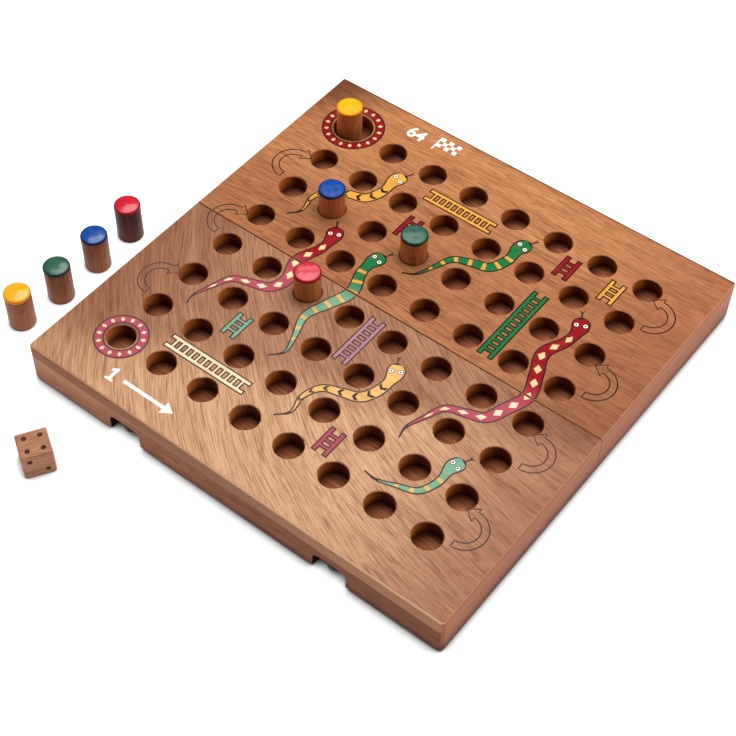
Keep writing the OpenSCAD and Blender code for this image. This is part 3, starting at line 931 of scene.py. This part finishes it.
def lathe(bm, profile, axis, count):
    """Turns a profile of radii and heights round an upright axis."""
    rings = []
    for radius, z in profile:
        on_axis = radius < 1e-9
        around = [axis] if on_axis else circle(axis, radius, count)
        rings.append([bm.verts.new((x, y, z)) for x, y in around])
    for low, high in zip(rings, rings[1:]):
        for k in range(count):
            if len(low) == 1:
                corners = [low[0], high[k], high[k - 1]]
            elif len(high) == 1:
                corners = [low[k - 1], low[k], high[0]]
            else:
                corners = [low[k - 1], low[k], high[k], high[k - 1]]
            bm.faces.new(corners).smooth = True
    return rings


def arc(centre, radius, start, end, count):
    """Points of a profile on a circle, by degrees."""
    angles = np.radians(np.linspace(start, end, count))
    return [(centre[0] + radius * math.cos(a), centre[1] + radius * math.sin(a)) for a in angles]


def peg(node, wood, paint, crown, seed):
    """A turned peg with a painted end: the film is thick on top and ends in a wavy line below the edge."""
    low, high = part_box(node)
    axis = ((low.x + high.x) / 2, (low.y + high.y) / 2)
    radius = (high.x - low.x) / 2
    foot_r, edge_r, count = 0.7 * MM, 0.8 * MM, 72
    film, thick_top, lap, sunk, tuck = 0.1 * MM, 0.35 * MM, 1.3 * MM, 0.05 * MM, 0.02 * MM
    lump, hem_wave, flat_from = 0.1 * MM, 0.28 * MM, 0.12
    wood_r, wood_top = radius - film, high.z - crown - thick_top
    profile = [(0, low.z), *arc((wood_r - foot_r, low.z + foot_r), foot_r, -90, 0, 6),
               (wood_r, (low.z + high.z) / 2),
               *arc((wood_r - edge_r, wood_top - edge_r), edge_r, 0, 90, 6), (0, wood_top)]
    bm = bmesh.new()
    lathe(bm, profile, axis, count)
    body_piece = make_piece(f"{node}_wood", bm, [wood], node)
    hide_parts(node)

    edge_z = high.z - crown - lump
    side = arc((radius - edge_r, edge_z - edge_r), edge_r, 0, 90, 8)
    top = [(radius - edge_r) * (1 - t) for t in np.linspace(flat_from, 1, 9)]
    flat = [(r, edge_z + crown * (1 - (r / (radius - edge_r)) ** 2)) for r in top]
    outside = [(radius, edge_z - lap), *side, *flat]
    inside = [(0, wood_top - sunk), (wood_r - edge_r, wood_top - sunk), (wood_r - tuck, edge_z - lap)]
    bm = bmesh.new()
    hem = lathe(bm, outside, axis, count)[0], lathe(bm, inside, axis, count)[-1]
    for k in range(count):
        bm.faces.new((hem[1][k - 1], hem[1][k], hem[0][k], hem[0][k - 1])).smooth = True
    for ring in hem:
        for k, vert in enumerate(ring):
            turn = 2 * math.pi * k / count
            wave = math.sin(2 * turn + seed) + 0.6 * math.sin(5 * turn + 2.3 * seed)
            wave += 0.3 * math.sin(9 * turn + seed)
            vert.co.z += hem_wave * wave
    rim = bm.verts.layers.float.new("rim")
    for vert in bm.verts:
        x, y = vert.co.x - axis[0], vert.co.y - axis[1]
        share = math.hypot(x, y) / radius
        vert[rim] = share
        if vert.co.z >= edge_z:
            wave = math.sin(x / LUMP_L + 3.1 * seed) * math.sin(y / LUMP_L + 1.7 * seed)
            vert.co.z += lump * wave * max(0, 1 - share ** 2)
    paint_piece = make_piece(f"{node}_paint", bm, [paint], node)


def die(turn, wood):
    """The die with rounded edges and shallow burnt pips, on the model's own die."""
    low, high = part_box("die")
    size, edge_r = 15.99 * MM, 1.0 * MM
    pip_r, pip_depth, pip_step, burn_past = 1.4 * MM, 0.6 * MM, 4 * MM, 1.25
    flat_count, edge_count, weld = 73, 7, 0.005 * MM
    middle = (low + high) / 2
    half, flat = size / 2, size / 2 - edge_r
    pips = {
        1: [(0, 0)], 2: [(-1, 1), (1, -1)], 3: [(-1, 1), (0, 0), (1, -1)],
        4: [(-1, -1), (-1, 1), (1, -1), (1, 1)], 5: [(-1, -1), (-1, 1), (0, 0), (1, -1), (1, 1)],
        6: [(-1, -1), (-1, 0), (-1, 1), (1, -1), (1, 0), (1, 1)],
    }
    turns = {1: ("Y", -90), 2: ("X", 90), 3: ("X", 180), 4: ("X", 0), 5: ("X", -90), 6: ("Y", 90)}
    rounding = [flat + edge_r * math.tan(a) for a in np.linspace(0, math.pi / 4, edge_count)[1:]]
    line = np.array([-r for r in rounding[::-1]] + list(np.linspace(-flat, flat, flat_count)) + rounding)
    bm = bmesh.new()
    burn = bm.verts.layers.float.new("burn")
    spin = Matrix.Rotation(turn, 4, "Z")
    for number, places in pips.items():
        name, degrees = turns[number]
        pose = Matrix.Translation(middle) @ spin @ Matrix.Rotation(math.radians(degrees), 4, name)
        grid = []
        for v in line:
            row = []
            for u in line:
                outer = Vector((u, v, half))
                core = Vector((min(max(u, -flat), flat), min(max(v, -flat), flat), flat))
                point = core + (outer - core).normalized() * edge_r
                off = min(math.hypot(u - a * pip_step, v - b * pip_step) for a, b in places) / pip_r
                point.z -= pip_depth * max(0, 1 - off ** 4)
                vert = bm.verts.new(pose @ point)
                vert[burn] = max(0, burn_past - off)
                row.append(vert)
            grid.append(row)
        for a, b in zip(grid, grid[1:]):
            for k in range(len(line) - 1):
                bm.faces.new((a[k], a[k + 1], b[k + 1], b[k])).smooth = True
    bmesh.ops.remove_doubles(bm, verts=bm.verts, dist=weld)
    piece = make_piece("wooden_die", bm, [wood], "die")
    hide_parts("die")


def dress(nodes, material):
    """Gives model nodes a material."""
    for name in nodes:
        slots = frame["nodes"][name].data.materials
        slots.clear()
        slots.append(material)


# Board

# The front plate's paler tones are a painted sheen on the same wood as the rear plate
FRONT_WOOD = plate_wood(
    "oiled_rain_tree_front", ("#ae7c5a", "#c99b75", "#d9af89"), pore_tone="#6e3a20", left_tone="#dccdc6",
    right_tone="#c4a8a6", seam_tint=("#cfbfbd", -0.4, -76.0, -44.0), seed=1.0, waver=12.0, sweep=2.25e-3)
dress(["front_top_plate"], FRONT_WOOD)
REAR_WOOD = plate_wood(
    "oiled_rain_tree_rear", ("#8e5a36", "#b07447", "#c08858"), pore_tone="#64341a", left_tone="#ffffff",
    right_tone="#e4d8e0", seam_tint=("#eae3e6", 0.0, 105.0, 20.0), seed=21.0, waver=14.0, dark_corner=0.95)
dress(["rear_top_plate"], REAR_WOOD)
BASE_WOOD = base_wood("oiled_rain_tree_base", ("#784329", "#9c5f40", "#b07352"), seed=41.0)
dress(["front_base", "rear_base"], BASE_WOOD)

HARDWARE = {"hinge_brass": rolled_brass(), "stud_steel": bronzed_steel(), "ring_rubber": black_rubber()}
for subpart in frame["record"]["subparts"]:
    if subpart["material_slot"] in HARDWARE:
        dress([subpart["node"]], HARDWARE[subpart["material_slot"]])

# Print: an ink is its tone on the rear half and its paler tone on the front half, a painted sheen, how much
# wood shows through, and a seed

INKS = {
    "outline": screen_ink("dark_brown_ink", "#1a0b08", "#463638", 0.15, 3.0),
    "red": screen_ink("red_ink", "#880414", "#ac4a58", 0.14, 7.0),
    "yellow": screen_ink("yellow_ink", "#d1973c", "#dbac66", 0.2, 11.0),
    "green": screen_ink("green_ink", "#106937", "#77a384", 0.2, 15.0),
    "cream": screen_ink("cream_ink", "#e2c48e", "#e9d3ac", 0.25, 19.0),
    "mauve": screen_ink("mauve_ink", "#96566a", "#aa7886", 0.25, 23.0),
    "white": screen_ink("white_ink", "#f4efe8", "#f4efe8", 0.1, 27.0),
}

# Markings of the snakes: spacing and length in mm, and a shape in lengths along and half widths across
DIAMONDS = {"spacing": 9.0, "length": 2.9, "shape": [(-1, 0), (0, -0.65), (1, 0), (0, 0.65)]}
BANDS = {"spacing": 7.5, "length": 1.0, "shape": [(-1, -1), (1, -1), (1, 0), (1, 1), (-1, 1), (-1, 0)]}
CHEVRONS = {"spacing": 7.5, "length": 1.1,
            "shape": [(-1, -0.9), (0.6, -0.9), (2, 0), (0.6, 0.9), (-1, 0.9), (0.4, 0)]}

snake("green_snake_rear", "green", "yellow", BANDS, [
    (4.12, 6.14), (4.0, 5.88), (4.0, 5.5), (3.84, 5.14), (3.5, 5.02), (3.16, 4.86), (3.0, 4.5),
    (2.84, 4.14), (2.6, 3.98)])
snake("yellow_snake_rear", "yellow", "outline", CHEVRONS, [
    (1.12, 6.14), (1.0, 5.88), (1.0, 5.5), (0.84, 5.14), (0.5, 5.02), (0.16, 4.86), (0.0, 4.5), (0.06, 4.1),
    (-0.12, 3.84)])
snake("red_snake_right", "red", "cream", DIAMONDS, [
    (5.9, 5.16), (6.02, 4.9), (6.0, 4.5), (5.82, 4.0), (6.0, 3.5), (6.16, 3.0), (6.0, 2.5), (5.84, 2.14),
    (5.5, 2.0), (5.16, 1.86), (5.0, 1.5), (4.86, 1.1), (4.9, 0.84)])
snake("yellow_snake_front", "yellow", "outline", CHEVRONS, [
    (3.88, 2.16), (4.0, 1.9), (4.0, 1.5), (3.84, 1.14), (3.5, 1.0), (3.16, 0.86), (3.0, 0.5), (3.06, 0.1),
    (2.86, -0.14)])
snake("red_snake_left", "red", "cream", DIAMONDS, [
    (0.88, 4.16), (1.0, 3.9), (1.0, 3.5), (0.84, 3.0), (1.0, 2.5), (0.86, 2.14), (0.5, 2.0), (0.16, 1.86),
    (0.0, 1.5), (-0.14, 1.1), (-0.1, 0.86)])
snake("green_snake_front", "green", "yellow", BANDS, [
    (6.12, 1.14), (6.0, 0.88), (6.0, 0.5), (5.84, 0.14), (5.5, 0.0), (5.14, -0.12), (4.86, -0.1)])
snake("green_snake_middle", "green", "yellow", BANDS, [
    (2.12, 4.14), (2.0, 3.88), (2.0, 3.5), (2.16, 3.0), (2.0, 2.5), (1.84, 2.0), (2.0, 1.5), (2.1, 1.1),
    (1.9, 0.84)])

ladder("yellow_ladder_long", (1.75, 6), (3.3, 6), "yellow")
ladder("yellow_ladder_short", (6, 5.75), (6, 6.3), "yellow")
ladder("red_ladder_short", (2, 4.72), (2, 5.3), "red")
ladder("green_ladder_long", (5, 3.3), (5, 5.15), "green")
ladder("red_ladder_middle", (5, 5.75), (5, 6.3), "red")
ladder("cream_ladder_long", (0.25, 0), (2.1, 0), "cream")
ladder("mauve_ladder", (3, 1.55), (3, 2.75), "mauve")
ladder("green_ladder_short", (1, 0.75), (1, 1.3), "green")
ladder("red_ladder_front", (4, -0.28), (4, 0.28), "red")

hole_ring("first_hole_ring", START_AT, HOLE_MOUTH_R, 14)
hole_ring("last_hole_ring", FINISH_AT, FINISH_MOUTH_R, 18)
for row in (0, 2, 4, 6):
    turn_arrow(f"right_turn_arrow_{row}", 1, row)
for row in (1, 3, 5):
    turn_arrow(f"left_turn_arrow_{row}", -1, row)
start_and_end_marks()

# Pegs: their wood has three tones, the pores' tone and a seed, their paint a tone and one for its edge

BOARD_PEG_WOOD = peg_wood("pale_oiled_dowel", ("#a25832", "#c87646", "#da8b57"), "#8a4c2c", 63.0)
LOOSE_PEG_WOODS = {
    "yellow": peg_wood("light_oiled_dowel", ("#754028", "#9a5c3e", "#ae7050"), "#5e3420", 61.0),
    "green": peg_wood("brown_oiled_dowel", ("#653a1f", "#88502f", "#9c633d"), "#4a2815", 62.0),
    "blue": peg_wood("warm_oiled_dowel", ("#673a22", "#8a5133", "#9e6443"), "#4a2815", 64.0),
    "red": peg_wood("dark_oiled_dowel", ("#301009", "#4e2014", "#6e3424"), "#1c0a06", 67.0),
}
PAINT_TONES = {
    "yellow": ("#eea613", "#d48808"),
    "green": ("#2c5a47", "#0f2c20"),
    "blue": ("#104596", "#081e4e"),
    "red": ("#c4122f", "#8a0a1e"),
}
BOARD_SHINE = {"yellow": 0.08, "green": 0.25, "blue": 0.1, "red": 0.4}
LOOSE_SHINE = 0.42
BOARD_CROWN = 0.3 * MM
LOOSE_CROWN = 0.8 * MM
LOOSE_SEED = 0.5
for seed, (colour, tones) in enumerate(PAINT_TONES.items()):
    paint = gloss_paint(f"{colour}_enamel_board", *tones, BOARD_SHINE[colour])
    peg(f"board_{colour}_peg", BOARD_PEG_WOOD, paint, BOARD_CROWN, seed)
for seed, (colour, tones) in enumerate(PAINT_TONES.items()):
    paint = gloss_paint(f"{colour}_enamel_loose", *tones, LOOSE_SHINE)
    wood = LOOSE_PEG_WOODS[colour]
    peg(f"loose_{colour}_peg", wood, paint, LOOSE_CROWN, seed + LOOSE_SEED)

DIE_TURN = math.radians(58)
die(DIE_TURN, die_wood("sanded_die_wood", ("#8a5636", "#ac744e", "#bd8760"), DIE_TURN, 71.0))


# Stage, light and camera

def area_light(name, place, aim, width, depth, power):
    """A soft light."""
    light = bpy.data.lights.new(name, "AREA")
    light.shape = "RECTANGLE"
    light.size = width
    light.size_y = depth
    light.energy = power
    lamp = bpy.data.objects.new(name, light)
    lamp.location = place
    lamp.rotation_mode = "QUATERNION"
    lamp.rotation_quaternion = (Vector(aim) - Vector(place)).to_track_quat("-Z", "Y")
    bpy.context.scene.collection.objects.link(lamp)


def white_table():
    """A plain white table that glows, as if lit from below in a light tent; ambient occlusion takes the glow
    away near the pieces, a painted shadow that stays close to them.
    """
    material, tree = begin("white_table")
    unoccluded = add(tree, "AmbientOcclusion", {"Distance": 7 * MM}, output="AO")
    surface(tree, {"Base Color": "#a8a7a5", "Roughness": 0.9, "Emission Color": "#ffffff",
                   "Emission Strength": between(tree, unoccluded, 0.3, 0.85, 0.0, 0.95)})
    bm = bmesh.new()
    reach = 6.0
    corners = ((-reach, -reach), (reach, -reach), (reach, reach), (-reach, reach))
    bm.faces.new([bm.verts.new((x, y, 0)) for x, y in corners])
    mesh = bpy.data.meshes.new("white_table")
    bm.to_mesh(mesh)
    bm.free()
    mesh.materials.append(material)
    floor = bpy.data.objects.new("white_table", mesh)
    bpy.context.scene.collection.objects.link(floor)


def studio():
    """A large softbox overhead, a weak one on the left and a dim room."""
    world = bpy.data.worlds.new("studio")
    world.use_nodes = True
    room = world.node_tree.nodes["Background"].inputs
    room["Color"].default_value = linear("#ffffff")
    room["Strength"].default_value = 0.15
    bpy.context.scene.world = world
    area_light("overhead_softbox", place=(0, 0.5, 1.15), aim=(0, 0.5, 0), width=1.6, depth=0.9, power=28.5)
    area_light("left_fill", place=(-1.1, -0.3, 0.5), aim=(0, 0, 0), width=0.6, depth=0.6, power=2.5)
    bpy.context.scene.view_settings.view_transform = "Standard"


def camera():
    """The camera of the photograph, found from the grid of holes and the board's corners."""
    data = bpy.data.cameras.new("camera")
    data.lens = 78.362
    data.sensor_width = 36.0
    data.shift_x = 0.0733
    data.shift_y = -0.0088
    data.clip_start = 0.01
    stands_at = (0.306596, -0.430814, 0.636287)
    right = Vector((0.778867, 0.627127, -0.008846))
    up = Vector((-0.482247, 0.607831, 0.630856))
    turn = Matrix((right, up, right.cross(up))).transposed()
    eye = bpy.data.objects.new("camera", data)
    eye.matrix_world = Matrix.Translation(stands_at) @ turn.to_4x4()
    bpy.context.scene.collection.objects.link(eye)
    bpy.context.scene.camera = eye


white_table()
studio()
camera()
